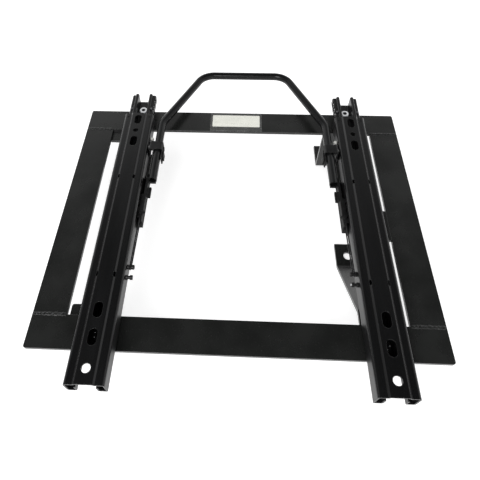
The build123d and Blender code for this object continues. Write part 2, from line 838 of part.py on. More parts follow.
for side in sides:
    save(handle_bracket(side), f"{side}_handle_bracket")
    save(pivot_pin(side), f"{side}_pivot_pin")
    save(lock_lever(side), f"{side}_lock_lever")
    save(hinge_bracket(side), f"{side}_hinge_bracket")
    save(hinge_pin(side), f"{side}_hinge_pin")
    save(lever_rivet(side), f"{side}_lever_rivet")
    save(spring_studs(side), f"{side}_spring_studs")
    save(lock_spring(side), f"{side}_lock_spring")
    save(handle_spring(side), f"{side}_handle_spring")

# Blank sticker under clear tape on the front bar
def sticker(gap):
    with BuildPart() as block:
        x_range = (label_x[0] - gap, label_x[1] + gap)
        y_range = (y0 + label_y[0] - gap, y0 + label_y[1] + gap)
        box_between(x_range, y_range, (bar_top, bar_top + label_thickness + gap))
        fillet(block.edges().filter_by(Axis.Z), 1.5 + gap)
    return block


save(sticker(0), "blank_label")

with BuildPart() as tape:
    tape_y = (y0 + inner_edge, y0 + half_depth)
    box_between(tape_x, tape_y, (bar_top, bar_top + tape_thickness))
    add(sticker(tape_gap).part, mode=Mode.SUBTRACT)
save(tape, "label_tape")
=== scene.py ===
import math

import bmesh
import bpy
from mathutils import Matrix, Vector


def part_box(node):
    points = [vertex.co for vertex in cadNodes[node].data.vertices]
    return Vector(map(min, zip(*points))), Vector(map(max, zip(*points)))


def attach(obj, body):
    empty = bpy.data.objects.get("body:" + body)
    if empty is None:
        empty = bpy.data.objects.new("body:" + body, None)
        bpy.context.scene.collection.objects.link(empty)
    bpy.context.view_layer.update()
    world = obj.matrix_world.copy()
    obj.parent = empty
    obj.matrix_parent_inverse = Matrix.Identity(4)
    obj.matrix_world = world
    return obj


# Sliding seat bracket: finishes for the CAD nodes, small pieces that ride on them, and the photo's studio

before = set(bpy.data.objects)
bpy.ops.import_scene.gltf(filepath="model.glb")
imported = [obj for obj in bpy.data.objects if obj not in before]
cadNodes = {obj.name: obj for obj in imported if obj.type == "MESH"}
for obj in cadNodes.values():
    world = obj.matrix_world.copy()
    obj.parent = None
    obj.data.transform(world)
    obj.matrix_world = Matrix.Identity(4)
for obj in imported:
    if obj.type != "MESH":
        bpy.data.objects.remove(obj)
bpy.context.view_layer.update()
print("frame loaded:", len(cadNodes), "nodes")


# Small helpers for node trees

def startMaterial(name):
    material = bpy.data.materials.new(name)
    material.use_nodes = True
    tree = material.node_tree
    return material, tree, tree.nodes["Principled BSDF"]


def addNode(tree, kind, settings=None, values=None):
    node = tree.nodes.new(kind)
    for key, value in (settings or {}).items():
        setattr(node, key, value)
    for key, value in (values or {}).items():
        if isinstance(value, bpy.types.NodeSocket):
            tree.links.new(value, node.inputs[key])
        else:
            node.inputs[key].default_value = value
    return node


def addMath(tree, operation, first, second=None):
    values = {0: first} if second is None else {0: first, 1: second}
    return addNode(tree, "ShaderNodeMath", {"operation": operation}, values).outputs["Value"]


def mapRange(tree, value, fromRange=(0.0, 1.0), toRange=(0.0, 1.0), kind="LINEAR"):
    spread = addNode(tree, "ShaderNodeMapRange", {"interpolation_type": kind},
                     {"Value": value, "From Min": fromRange[0], "From Max": fromRange[1],
                      "To Min": toRange[0], "To Max": toRange[1]})
    return spread.outputs["Result"]


def objectCoords(tree, stretch=(1, 1, 1)):
    coords = addNode(tree, "ShaderNodeTexCoord")
    mapping = addNode(tree, "ShaderNodeMapping",
                      values={"Vector": coords.outputs["Object"], "Scale": stretch})
    return mapping.outputs["Vector"]


def plainNoise(tree, coords, size, detail=2.0):
    # size is the width of one patch in metres
    noise = addNode(tree, "ShaderNodeTexNoise",
                    values={"Vector": coords, "Scale": 1 / size, "Detail": detail})
    return noise.outputs["Fac"]


def noiseFactor(tree, coords, size, detail=3.0, low=0.35, high=0.65):
    # low and high widen the contrast of the patches
    return mapRange(tree, plainNoise(tree, coords, size, detail), (low, high))


def mixColours(tree, factor, first, second):
    mix = addNode(tree, "ShaderNodeMix", {"data_type": "RGBA"}, {0: factor})
    for index, colour in ((6, first), (7, second)):
        if isinstance(colour, bpy.types.NodeSocket):
            tree.links.new(colour, mix.inputs[index])
        else:
            mix.inputs[index].default_value = (*colour, 1)
    return mix.outputs[2]


def mixValues(tree, factor, first, second):
    return mapRange(tree, factor, toRange=(first, second))


wornEdge = {"samples": 4, "starts": 0.985, "full": 0.8}  # cosines between the rounded and the true normal


def edgeMask(tree, radius):
    # 1 on worn edges, 0 on flats
    bevel = addNode(tree, "ShaderNodeBevel", {"samples": wornEdge["samples"]}, {"Radius": radius})
    geometry = addNode(tree, "ShaderNodeNewGeometry")
    dot = addNode(tree, "ShaderNodeVectorMath", {"operation": "DOT_PRODUCT"},
                  {0: bevel.outputs["Normal"], 1: geometry.outputs["True Normal"]})
    mask = mapRange(tree, dot.outputs["Value"], (wornEdge["starts"], wornEdge["full"]))
    return mask, bevel.outputs["Normal"]


def addBump(tree, shader, height, distance, strength, normal=None):
    bump = addNode(tree, "ShaderNodeBump",
                   values={"Height": height, "Distance": distance, "Strength": strength})
    if normal is not None:
        tree.links.new(normal, bump.inputs["Normal"])
    tree.links.new(bump.outputs["Normal"], shader.inputs["Normal"])


# Paints and metals

paints = {
    "barPaint": {
        "colour": (0.0095, 0.0100, 0.0095), "dustColour": (0.024, 0.025, 0.023),
        "wearColour": (0.060, 0.062, 0.060), "roughness": (0.20, 0.30), "specular": 0.55,
        "peel": 0.0011, "peelDepth": 0.00003, "patch": 0.05, "edge": 0.0009, "stretch": (1, 1, 1),
    },
    "railPaint": {
        "colour": (0.0042, 0.0043, 0.0045), "dustColour": (0.012, 0.012, 0.013),
        "wearColour": (0.030, 0.030, 0.031), "roughness": (0.16, 0.24), "uprightRoughness": 0.42,
        "specular": 0.55, "peel": 0.0016, "peelDepth": 0.00002, "patch": 0.03, "edge": 0.0008,
        "stretch": (1, 0.12, 1),
    },
    "channelPaint": {
        "colour": (0.0028, 0.0028, 0.0030), "dustColour": (0.008, 0.008, 0.008),
        "wearColour": (0.060, 0.061, 0.063), "roughness": (0.26, 0.36), "specular": 0.35,
        "peel": 0.0016, "peelDepth": 0.00002, "patch": 0.03, "edge": 0.0006, "stretch": (1, 0.12, 1),
    },
    "tubePaint": {
        "colour": (0.0055, 0.0058, 0.0060), "dustColour": (0.015, 0.015, 0.015),
        "wearColour": (0.04, 0.04, 0.04), "roughness": (0.16, 0.24), "specular": 0.28,
        "peel": 0.0013, "peelDepth": 0.00003, "patch": 0.02, "edge": 0.0004, "stretch": (1, 1, 1),
    },
    "leverPaint": {
        "colour": (0.0050, 0.0050, 0.0053), "dustColour": (0.018, 0.018, 0.018),
        "wearColour": (0.10, 0.10, 0.10), "roughness": (0.28, 0.42), "uprightRoughness": 0.75,
        "specular": 0.4, "peel": 0.0010, "peelDepth": 0.00003, "patch": 0.012, "edge": 0.0006,
        "stretch": (1, 1, 1),
    },
    "weldPaint": {
        "colour": (0.0070, 0.0070, 0.0072), "dustColour": (0.016, 0.016, 0.016),
        "wearColour": (0.030, 0.030, 0.030), "roughness": (0.60, 0.75), "uprightRoughness": 0.85,
        "specular": 0.2, "peel": 0.0018, "peelDepth": 0.00010, "patch": 0.006, "edge": 0.0004,
        "stretch": (1, 1, 1),
    },
    "rubber": {
        "colour": (0.0035, 0.0035, 0.0036), "dustColour": (0.010, 0.010, 0.010),
        "wearColour": (0.012, 0.012, 0.012), "roughness": (0.55, 0.70), "specular": 0.25,
        "peel": 0.0008, "peelDepth": 0.00003, "patch": 0.008, "edge": 0.0004, "stretch": (1, 1, 1),
    },
}
paintTexture = {
    "patchDetail": 5.0, "patchShade": 1.5,
    "specks": {"size": 0.0016, "detail": 2.0, "low": 0.66, "high": 0.74},
    "wearBreaks": {"size": 0.006, "detail": 4.0, "low": 0.42, "high": 0.6},
    "uprightSlope": (0.15, 0.45), "peelStrength": 0.6,
}


def makePaint(name):
    paint = paints[name]
    material, tree, shader = startMaterial(name)
    coords = objectCoords(tree, paint["stretch"])
    even = objectCoords(tree)
    patches = noiseFactor(tree, coords, paint["patch"], paintTexture["patchDetail"])
    specks = noiseFactor(tree, even, **paintTexture["specks"])
    worn, rounded = edgeMask(tree, paint["edge"])
    wear = addMath(tree, "MULTIPLY", worn, noiseFactor(tree, even, **paintTexture["wearBreaks"]))
    shade = [value * paintTexture["patchShade"] for value in paint["colour"]]
    colour = mixColours(tree, patches, paint["colour"], shade)
    colour = mixColours(tree, specks, colour, paint["dustColour"])
    colour = mixColours(tree, wear, colour, paint["wearColour"])
    tree.links.new(colour, shader.inputs["Base Color"])
    roughness = mixValues(tree, patches, *paint["roughness"])
    if "uprightRoughness" in paint:
        # the powder lies thin and dull on upright faces
        facing = addNode(tree, "ShaderNodeNewGeometry")
        split = addNode(tree, "ShaderNodeSeparateXYZ", values={"Vector": facing.outputs["Normal"]})
        slope = addMath(tree, "ABSOLUTE", split.outputs["Z"])
        upright = mapRange(tree, slope, paintTexture["uprightSlope"], (1.0, 0.0))
        roughness = mixValues(tree, upright, roughness, paint["uprightRoughness"])
    tree.links.new(roughness, shader.inputs["Roughness"])
    shader.inputs["Specular IOR Level"].default_value = paint["specular"]
    peel = plainNoise(tree, even, paint["peel"])
    addBump(tree, shader, peel, paint["peelDepth"], paintTexture["peelStrength"], rounded)
    return material


metals = {
    "brightZinc": {
        "colour": (0.86, 0.87, 0.90), "shade": (0.60, 0.62, 0.66), "roughness": (0.24, 0.40),
        "grain": 0.0007, "metal": 0.35,
    },
    "blackWire": {
        "colour": (0.030, 0.030, 0.031), "shade": (0.012, 0.012, 0.013), "roughness": (0.25, 0.40),
        "grain": 0.0005, "metal": 0.8,
    },
    "ballSteel": {
        "colour": (0.70, 0.70, 0.72), "shade": (0.55, 0.55, 0.57), "roughness": (0.10, 0.18),
        "grain": 0.001, "metal": 1.0,
    },
    "cageStrip": {
        "colour": (0.50, 0.50, 0.49), "shade": (0.34, 0.34, 0.33), "roughness": (0.30, 0.45),
        "grain": 0.0008, "metal": 1.0,
    },
    "springSteel": {
        "colour": (0.42, 0.42, 0.41), "shade": (0.20, 0.20, 0.20), "roughness": (0.22, 0.38),
        "grain": 0.0005, "metal": 0.85,
    },
    "dullZinc": {
        "colour": (0.16, 0.16, 0.17), "shade": (0.08, 0.08, 0.09), "roughness": (0.30, 0.45),
        "grain": 0.0007, "metal": 0.35,
    },
    # near-white matte zinc for the bolt rings, rear glints and stud tip: partly painted highlight
    "zincAndHighlight": {
        "colour": (0.98, 0.99, 1.0), "shade": (0.92, 0.94, 0.97), "roughness": (0.30, 0.42),
        "grain": 0.0007, "metal": 0.0,
    },
    "nylon": {
        "colour": (0.62, 0.62, 0.59), "shade": (0.50, 0.50, 0.47), "roughness": (0.35, 0.50),
        "grain": 0.0006, "metal": 0.0,
    },
}
metalTexture = {
    "clouds": {"size": 0.004, "detail": 4.0}, "edge": 0.0004, "grainDepth": 0.00002, "grainStrength": 0.4,
}


def makeMetal(name, blackBehind=None):
    # blackBehind: behind this place along Y the same part is blackened instead
    metal = metals[name]
    material, tree, shader = startMaterial(name if blackBehind is None else name + "AndBlack")
    coords = objectCoords(tree)
    clouds = noiseFactor(tree, coords, **metalTexture["clouds"])
    grain = plainNoise(tree, coords, metal["grain"])
    rounded = edgeMask(tree, metalTexture["edge"])[1]
    colour = mixColours(tree, clouds, metal["colour"], metal["shade"])
    if blackBehind is not None:
        split = addNode(tree, "ShaderNodeSeparateXYZ", values={"Vector": coords})
        rear = addMath(tree, "LESS_THAN", split.outputs["Y"], blackBehind)
        colour = mixColours(tree, rear, colour, metals["blackWire"]["shade"])
    tree.links.new(colour, shader.inputs["Base Color"])
    tree.links.new(mixValues(tree, clouds, *metal["roughness"]), shader.inputs["Roughness"])
    shader.inputs["Metallic"].default_value = metal["metal"]
    addBump(tree, shader, grain, metalTexture["grainDepth"], metalTexture["grainStrength"], rounded)
    return material


sticker = {
    "colour": (0.94, 0.94, 0.86), "shade": (0.89, 0.89, 0.81), "clouds": {"size": 0.012, "detail": 4.0},
    "roughness": (0.45, 0.6), "fibre": {"size": 0.0004, "detail": 3.0}, "fibreDepth": 0.00002,
    "fibreStrength": 0.5,
}


def makeSticker():
    material, tree, shader = startMaterial("stickerPaper")
    coords = objectCoords(tree)
    clouds = noiseFactor(tree, coords, **sticker["clouds"])
    fibre = plainNoise(tree, coords, **sticker["fibre"])
    tree.links.new(mixColours(tree, clouds, sticker["colour"], sticker["shade"]), shader.inputs["Base Color"])
    tree.links.new(mixValues(tree, clouds, *sticker["roughness"]), shader.inputs["Roughness"])
    addBump(tree, shader, fibre, sticker["fibreDepth"], sticker["fibreStrength"])
    return material


tape = {
    "colour": (0.75, 0.76, 0.75), "specular": 0.5, "roughness": (0.08, 0.2), "alpha": (0.09, 0.18),
    "ripples": {"size": 0.018, "detail": 2.0}, "rippleDepth": 0.0003, "rippleStrength": 0.5,
    "creases": {"size": 0.02, "detail": 3.0, "low": 0.6, "high": 0.72}, "creaseStretch": (1, 6, 1),
}


def makeTape():
    material, tree, shader = startMaterial("clearTape")
    ripples = noiseFactor(tree, objectCoords(tree), **tape["ripples"])
    creases = noiseFactor(tree, objectCoords(tree, tape["creaseStretch"]), **tape["creases"])
    shader.inputs["Base Color"].default_value = (*tape["colour"], 1)
    shader.inputs["Specular IOR Level"].default_value = tape["specular"]
    tree.links.new(mixValues(tree, ripples, *tape["roughness"]), shader.inputs["Roughness"])
    tree.links.new(mixValues(tree, creases, *tape["alpha"]), shader.inputs["Alpha"])
    addBump(tree, shader, ripples, tape["rippleDepth"], tape["rippleStrength"])
    return material


finishes = {name: makePaint(name) for name in paints}
finishes.update({name: makeMetal(name) for name in metals})
finishes["boltZinc"] = makeMetal("brightZinc", blackBehind=0.0)  # the rear bolts are drawn near black
finishes["stickerPaper"] = makeSticker()
finishes["clearTape"] = makeTape()
print("materials made:", len(finishes))

# Which finish each CAD node gets, by the end of its name
nodeFinishes = {
    "bar": "barPaint", "seams": "barPaint", "leg": "barPaint", "welds": "weldPaint", "rail_tab": "barPaint",
    "lower_rail": "channelPaint", "upper_rail": "railPaint", "release_handle": "tubePaint",
    "handle_bracket": "leverPaint", "hinge_bracket": "leverPaint", "hinge_pin": "leverPaint",
    "lock_lever": "leverPaint", "lever_rivet": "leverPaint", "lock_spring": "blackWire",
    "handle_spring": "springSteel", "spring_studs": "leverPaint", "pivot_pin": "leverPaint",
    "rail_bolts": "boltZinc", "rail_nuts": "brightZinc", "cage_stops": "dullZinc",
    "upper_balls": "ballSteel", "lower_balls": "ballSteel", "cages": "cageStrip",
    "blank_label": "stickerPaper", "label_tape": "clearTape",
}


def giveFinish(obj, finishName):
    obj.data.materials.clear()
    obj.data.materials.append(finishes[finishName])


for nodeName, obj in cadNodes.items():
    ending = max((end for end in nodeFinishes if nodeName.endswith(end)), key=len)
    giveFinish(obj, nodeFinishes[ending])
print("CAD nodes painted")


# Geometry Nodes helpers

def startNodes(name, inputs):
    group = bpy.data.node_groups.new(name, "GeometryNodeTree")
    group.interface.new_socket("Geometry", in_out="OUTPUT", socket_type="NodeSocketGeometry")
    for label, kind in inputs.items():
        group.interface.new_socket(label, in_out="INPUT", socket_type=kind)
    return group, group.nodes.new("NodeGroupInput"), group.nodes.new("NodeGroupOutput")


def addPiece(name, mesh, body):
    piece = bpy.data.objects.new(name, mesh)
    bpy.context.collection.objects.link(piece)
    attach(piece, body)


def growPiece(name, group, values, body):
    # runs the tree once, keeps the plain mesh and lets the piece ride on its body
    seed = bpy.data.objects.new(name + ".seed", bpy.data.meshes.new(name + ".seed"))
    bpy.context.collection.objects.link(seed)
    modifier = seed.modifiers.new("grow", "NODES")
    modifier.node_group = group
    for item in group.interface.items_tree:
        if item.in_out == "INPUT" and item.name in values:
            modifier[item.identifier] = values[item.name]
    evaluated = seed.evaluated_get(bpy.context.evaluated_depsgraph_get())
    mesh = bpy.data.meshes.new_from_object(evaluated)
    seed.modifiers.remove(modifier)
    bpy.data.objects.remove(seed)
    addPiece(name, mesh, body)


def seamPoints(group, source, mode, amountName, amount):
    line = addNode(group, "GeometryNodeCurvePrimitiveLine",
                   values={"Start": source.outputs["Start"], "End": source.outputs["End"]})
    points = addNode(group, "GeometryNodeCurveToPoints", {"mode": mode},
                     {"Curve": line.outputs["Curve"], amountName: amount})
    return points.outputs["Points"]


def randomValue(group, low, high, seed):
    node = addNode(group, "FunctionNodeRandomValue", values={2: low, 3: high, "Seed": seed})
    return node.outputs[1]


def scaledBy(group, vector, factor):
    node = addNode(group, "ShaderNodeVectorMath", {"operation": "SCALE"}, {0: vector, "Scale": factor})
    return node.outputs["Vector"]


def setOnPoints(group, points, instance, scale=(1, 1, 1)):
    node = addNode(group, "GeometryNodeInstanceOnPoints",
                   values={"Points": points, "Instance": instance, "Scale": scale})
    return node.outputs["Instances"]


def moved(group, geometry, offset):
    node = addNode(group, "GeometryNodeTransform", values={"Geometry": geometry, "Translation": offset})
    return node.outputs["Geometry"]


def placedCopies(group, spots, geometry):
    copies = [moved(group, geometry, spot) for spot in spots]
    join = addNode(group, "GeometryNodeJoinGeometry")
    for copy in copies:
        group.links.new(copy, join.inputs["Geometry"])
    return join.outputs["Geometry"]


def finishTree(group, result, geometry, finish, smooth=True):
    plain = addNode(group, "GeometryNodeRealizeInstances", values={"Geometry": geometry})
    shaded = addNode(group, "GeometryNodeSetShadeSmooth",
                     values={"Geometry": plain.outputs["Geometry"], "Shade Smooth": smooth})
    painted = addNode(group, "GeometryNodeSetMaterial",
                      values={"Geometry": shaded.outputs["Geometry"], "Material": finish})
    group.links.new(painted.outputs["Geometry"], result.inputs["Geometry"])


# Weld ripples laid over the four dressed seams of the frame

weldRipples = {
    "spacing": 0.0016, "width": 0.0052, "height": 0.0011, "length": 0.0030, "jitter": 0.25, "seed": 7,
    "fineness": 3,
}
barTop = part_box("front_cross_bar")[1][2]


def seamEnds(cornerName, inset, height):
    # a seam crosses the side bar along the inner edge of the cross bar
    sideLow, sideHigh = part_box("left_side_bar" if "Left" in cornerName else "right_side_bar")
    barLow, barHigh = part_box("front_cross_bar" if "front" in cornerName else "rear_cross_bar")
    seamY = barLow[1] if "front" in cornerName else barHigh[1]
    return {"Start": (sideLow[0] + inset, seamY, height), "End": (sideHigh[0] - inset, seamY, height)}


def rippleTree():
    group, source, result = startNodes("weldRipples", {
        "Start": "NodeSocketVector", "End": "NodeSocketVector", "Spacing": "NodeSocketFloat",
        "Ripple Size": "NodeSocketVector", "Jitter": "NodeSocketFloat", "Seed": "NodeSocketInt",
        "Finish": "NodeSocketMaterial",
    })
    points = seamPoints(group, source, "LENGTH", "Length", source.outputs["Spacing"])
    ball = addNode(group, "GeometryNodeMeshIcoSphere",  # 1 m across, so that its scale is its size
                   values={"Radius": 0.5, "Subdivisions": weldRipples["fineness"]})
    low = addMath(group, "SUBTRACT", 1.0, source.outputs["Jitter"])
    high = addMath(group, "ADD", 1.0, source.outputs["Jitter"])
    jitter = randomValue(group, low, high, source.outputs["Seed"])
    size = scaledBy(group, source.outputs["Ripple Size"], jitter)
    ripples = setOnPoints(group, points, ball.outputs["Mesh"], size)
    finishTree(group, result, ripples, source.outputs["Finish"])
    return group


weldGroup = rippleTree()
for cornerName in ("frontLeft", "frontRight", "rearLeft", "rearRight"):
    growPiece("weld_" + cornerName, weldGroup, {
        **seamEnds(cornerName, weldRipples["length"], barTop), "Spacing": weldRipples["spacing"],
        "Ripple Size": (weldRipples["length"], weldRipples["width"], 2 * weldRipples["height"]),
        "Jitter": weldRipples["jitter"], "Seed": weldRipples["seed"] + len(cornerName),
        "Finish": finishes["barPaint"],
    }, "frame")
print("weld ripples laid")


# Bare chips along the seams, thickest at the rear left corner

seamChips = {
    "counts": {"frontLeft": 6, "frontRight": 8, "rearLeft": 34, "rearRight": 9},
    "size": (0.0016, 0.0008, 0.0004), "sizeRange": (0.35, 1.15), "spread": 0.0011, "rise": 0.0010,
    "inset": 0.004, "fineness": 2, "seed": 11, "alongSeed": 3, "sizeSeed": 5,
}


def chipTree():
    group, source, result = startNodes("seamChips", {
        "Start": "NodeSocketVector", "End": "NodeSocketVector", "Count": "NodeSocketInt",
        "Chip Size": "NodeSocketVector", "Spread": "NodeSocketFloat", "Seed": "NodeSocketInt",
        "Finish": "NodeSocketMaterial",
    })
    points = seamPoints(group, source, "COUNT", "Count", source.outputs["Count"])
    spread = source.outputs["Spread"]
    low = addMath(group, "MULTIPLY", spread, -1.0)
    across = randomValue(group, low, spread, source.outputs["Seed"])
    along = randomValue(group, low, spread, seamChips["alongSeed"])
    shift = addNode(group, "ShaderNodeCombineXYZ", values={"X": along, "Y": across})
    loose = addNode(group, "GeometryNodeSetPosition",
                    values={"Geometry": points, "Offset": shift.outputs["Vector"]})
    factor = randomValue(group, *seamChips["sizeRange"], seamChips["sizeSeed"])
    size = scaledBy(group, source.outputs["Chip Size"], factor)
    chip = addNode(group, "GeometryNodeMeshIcoSphere",
                   values={"Radius": 0.5, "Subdivisions": seamChips["fineness"]})
    chips = setOnPoints(group, loose.outputs["Geometry"], chip.outputs["Mesh"], size)
    finishTree(group, result, chips, source.outputs["Finish"], False)
    return group


chipGroup = chipTree()
for cornerName, count in seamChips["counts"].items():
    growPiece("chips_" + cornerName, chipGroup, {
        **seamEnds(cornerName, seamChips["inset"], barTop + seamChips["rise"]), "Count": count,
        "Chip Size": seamChips["size"], "Spread": seamChips["spread"], "Seed": seamChips["seed"],
        "Finish": finishes["dullZinc"],
    }, "frame")
print("seam chips laid")


# Bolt heads: front ones have a bright zinc ring whitened as a painted highlight and ridges, rear ones small
# bright dots as painted glints, all a near-black disc as painted shade in the socket

boltTop = {
    "headRadius": 0.0065, "ringOuter": 0.0064, "ringInner": 0.0036, "ringThickness": 0.00030,
    "ringSteps": 48, "ringSides": 16, "socketRadius": 0.0034, "socketDrop": 0.0002,
    "socketThickness": 0.0004, "socketSides": 6, "glintReach": 0.0050,
    "glintSize": (0.0007, 0.0004, 0.0002), "glintCount": 5, "glintFineness": 3, "ridgeCount": 40,
    "ridgeRadius": 0.00032, "ridgeHeight": 0.0062, "ridgeSides": 8, "ridgeDrop": 0.0008,
}


def boltSpots(frontOnly=False):
    # the heads stand at the corners of their node's box
    low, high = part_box("rail_bolts")
    reach = boltTop["headRadius"]
    ys = (high[1] - reach,) if frontOnly else (high[1] - reach, low[1] + reach)
    return [(x, y, high[2]) for x in (low[0] + reach, high[0] - reach) for y in ys]


# near-white ring on each front head: a zinc face whitened as a painted highlight
def ringHighlightTree():
    # a flat ring swept from a small round section round a circle
    group, source, result = startNodes("boltZincHighlightRings", {
        "Middle": "NodeSocketFloat", "Section": "NodeSocketFloat", "Flatness": "NodeSocketVector",
        "Finish": "NodeSocketMaterial",
    })
    circle, section = (
        addNode(group, "GeometryNodeCurvePrimitiveCircle",
                values={"Resolution": boltTop[steps], "Radius": source.outputs[radius]})
        for steps, radius in (("ringSteps", "Middle"), ("ringSides", "Section"))
    )
    swept = addNode(group, "GeometryNodeCurveToMesh",
                    values={"Curve": circle.outputs["Curve"], "Profile Curve": section.outputs["Curve"]})
    flat = addNode(group, "GeometryNodeTransform",
                   values={"Geometry": swept.outputs["Mesh"], "Scale": source.outputs["Flatness"]})
    copies = placedCopies(group, boltSpots(frontOnly=True), flat.outputs["Geometry"])
    finishTree(group, result, copies, source.outputs["Finish"])
    return group


# near-black hex disc at the top of each head: painted shade in the socket, not a part
def socketShadeTree():
    group, source, result = startNodes("boltSocketShades", {
        "Radius": "NodeSocketFloat", "Depth": "NodeSocketFloat", "Finish": "NodeSocketMaterial",
    })
    disc = addNode(group, "GeometryNodeMeshCylinder", {"fill_type": "NGON"},
                   {"Vertices": boltTop["socketSides"], "Radius": source.outputs["Radius"],
                    "Depth": boltTop["socketThickness"]})
    down = addNode(group, "ShaderNodeCombineXYZ", values={"Z": source.outputs["Depth"]})
    low = moved(group, disc.outputs["Mesh"], down.outputs["Vector"])
    finishTree(group, result, placedCopies(group, boltSpots(), low), source.outputs["Finish"], False)
    return group


# five small bright dots round the rim of each rear head: painted highlights
def glintTree():
    group, source, result = startNodes("boltGlints", {
        "Reach": "NodeSocketFloat", "Size": "NodeSocketVector", "Finish": "NodeSocketMaterial",
    })
    ring = addNode(group, "GeometryNodeMeshCircle",
                   values={"Vertices": boltTop["glintCount"], "Radius": source.outputs["Reach"]})
    dot = addNode(group, "GeometryNodeMeshIcoSphere",
                  values={"Radius": 1.0, "Subdivisions": boltTop["glintFineness"]})
    dots = setOnPoints(group, ring.outputs["Mesh"], dot.outputs["Mesh"], source.outputs["Size"])
    rear = [spot for spot in boltSpots() if spot not in boltSpots(frontOnly=True)]
    finishTree(group, result, placedCopies(group, rear, dots), source.outputs["Finish"])
    return group


def ridgeTree():
    group, source, result = startNodes("boltRidges", {
        "Count": "NodeSocketInt", "Head Radius": "NodeSocketFloat", "Ridge Radius": "NodeSocketFloat",
        "Height": "NodeSocketFloat", "Drop": "NodeSocketVector", "Finish": "NodeSocketMaterial",
    })
    circle = addNode(group, "GeometryNodeMeshCircle",
                     values={"Vertices": source.outputs["Count"], "Radius": source.outputs["Head Radius"]})
    ridge = addNode(group, "GeometryNodeMeshCylinder", {"fill_type": "NGON"},
                    {"Vertices": boltTop["ridgeSides"], "Radius": source.outputs["Ridge Radius"],
                     "Depth": source.outputs["Height"]})
    ring = setOnPoints(group, circle.outputs["Mesh"], ridge.outputs["Mesh"])
    low = moved(group, ring, source.outputs["Drop"])
    copies = placedCopies(group, boltSpots(frontOnly=True), low)
    finishTree(group, result, copies, source.outputs["Finish"])
    return group


ringMiddle = (boltTop["ringOuter"] + boltTop["ringInner"]) / 2
ringHalf = (boltTop["ringOuter"] - boltTop["ringInner"]) / 2
growPiece("boltZincHighlightRings", ringHighlightTree(), {
    "Middle": ringMiddle, "Section": ringHalf, "Flatness": (1, 1, boltTop["ringThickness"] / ringHalf),
    "Finish": finishes["zincAndHighlight"],
}, "frame")
# dark discs that paint the shade in the sockets
growPiece("boltSocketShades", socketShadeTree(), {
    "Radius": boltTop["socketRadius"], "Depth": -boltTop["socketDrop"], "Finish": finishes["channelPaint"],
}, "frame")
growPiece("boltGlints", glintTree(), {
    "Reach": boltTop["glintReach"], "Size": boltTop["glintSize"], "Finish": finishes["zincAndHighlight"],
}, "frame")
growPiece("boltRidges", ridgeTree(), {
    "Count": boltTop["ridgeCount"], "Head Radius": boltTop["headRadius"],
    "Ridge Radius": boltTop["ridgeRadius"], "Height": boltTop["ridgeHeight"],
    "Drop": (0, 0, -boltTop["ridgeHeight"] / 2 - boltTop["ridgeDrop"]), "Finish": finishes["brightZinc"],
}, "frame")
print("bolt heads finished")


# Rivet heads on the feet of the handle brackets

sides = (("left", 1), ("right", -1))  # name, and the direction from the rail toward the middle
wallGap = 0.0001  # between a rail's wall or a bracket and what is set on it
rivets = {
    "radius": 0.0021, "height": 0.0009, "segments": 24, "rings": 14, "sheet": 0.0018,
    "count": 2, "pitch": 0.0076, "behindPin": 0.0032, "aboveFoot": 0.0026,
}


def faceX(nodeName, direction):
    # where the node's box begins, going along X in this direction
    low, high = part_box(nodeName)
    return low[0] if direction > 0 else high[0]


def rivetTree():
    group, source, result = startNodes("rivetHeads", {
        "First": "NodeSocketVector", "Step": "NodeSocketVector", "Count": "NodeSocketInt",
        "Dome": "NodeSocketVector", "Finish": "NodeSocketMaterial",
    })
    line = addNode(group, "GeometryNodeMeshLine", {"mode": "OFFSET"},
                   {"Count": source.outputs["Count"], "Start Location": source.outputs["First"],
                    "Offset": source.outputs["Step"]})
    dome = addNode(group, "GeometryNodeMeshUVSphere",
                   values={"Segments": rivets["segments"], "Rings": rivets["rings"], "Radius": 1.0})
    heads = setOnPoints(group, line.outputs["Mesh"], dome.outputs["Mesh"], source.outputs["Dome"])
    finishTree(group, result, heads, source.outputs["Finish"])
    return group


rivetGroup = rivetTree()
for side, inward in sides:
    footX = faceX(side + "_handle_bracket", inward) + inward * (rivets["sheet"] + wallGap)
    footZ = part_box(side + "_handle_bracket")[0][2]
    pinLow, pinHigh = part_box(side + "_pivot_pin")
    pinY = (pinLow[1] + pinHigh[1]) / 2
    growPiece(side + "_bracketRivets", rivetGroup, {
        "First": (footX, pinY - rivets["behindPin"], footZ + rivets["aboveFoot"]),
        "Step": (0, rivets["pitch"], 0), "Count": rivets["count"],
        "Dome": (rivets["height"], rivets["radius"], rivets["radius"]), "Finish": finishes["leverPaint"],
    }, side + "_carriage")
print("rivets set")


# Small formed parts beside each rail

softCorner = 0.0003
cornerSteps = 3
discSides = 32


def addBlock(bm, low, high, corner=softCorner):
    matrix = Matrix.Translation([(a + b) / 2 for a, b in zip(low, high)])
    matrix = matrix @ Matrix.Diagonal([abs(b - a) for a, b in zip(low, high)] + [1])
    made = bmesh.ops.create_cube(bm, size=1.0, matrix=matrix)
    edges = {edge for vert in made["verts"] for edge in vert.link_edges}
    bmesh.ops.bevel(bm, geom=list(edges), offset=corner, segments=cornerSteps, affect="EDGES", profile=0.5)


def addDisc(bm, centre, axis, radius, length, corner=softCorner):
    turn = Vector((0, 0, 1)).rotation_difference(Vector(axis)).to_matrix().to_4x4()
    middle = Vector(centre) + Vector(axis) * length / 2
    made = bmesh.ops.create_cone(bm, cap_ends=True, segments=discSides, radius1=radius, radius2=radius,
                                 depth=length, matrix=Matrix.Translation(middle) @ turn)
    rim = [edge for edge in {edge for vert in made["verts"] for edge in vert.link_edges}
           if any(len(face.verts) > 4 for face in edge.link_faces)]
    bmesh.ops.bevel(bm, geom=rim, offset=corner, segments=cornerSteps, affect="EDGES", profile=0.5)


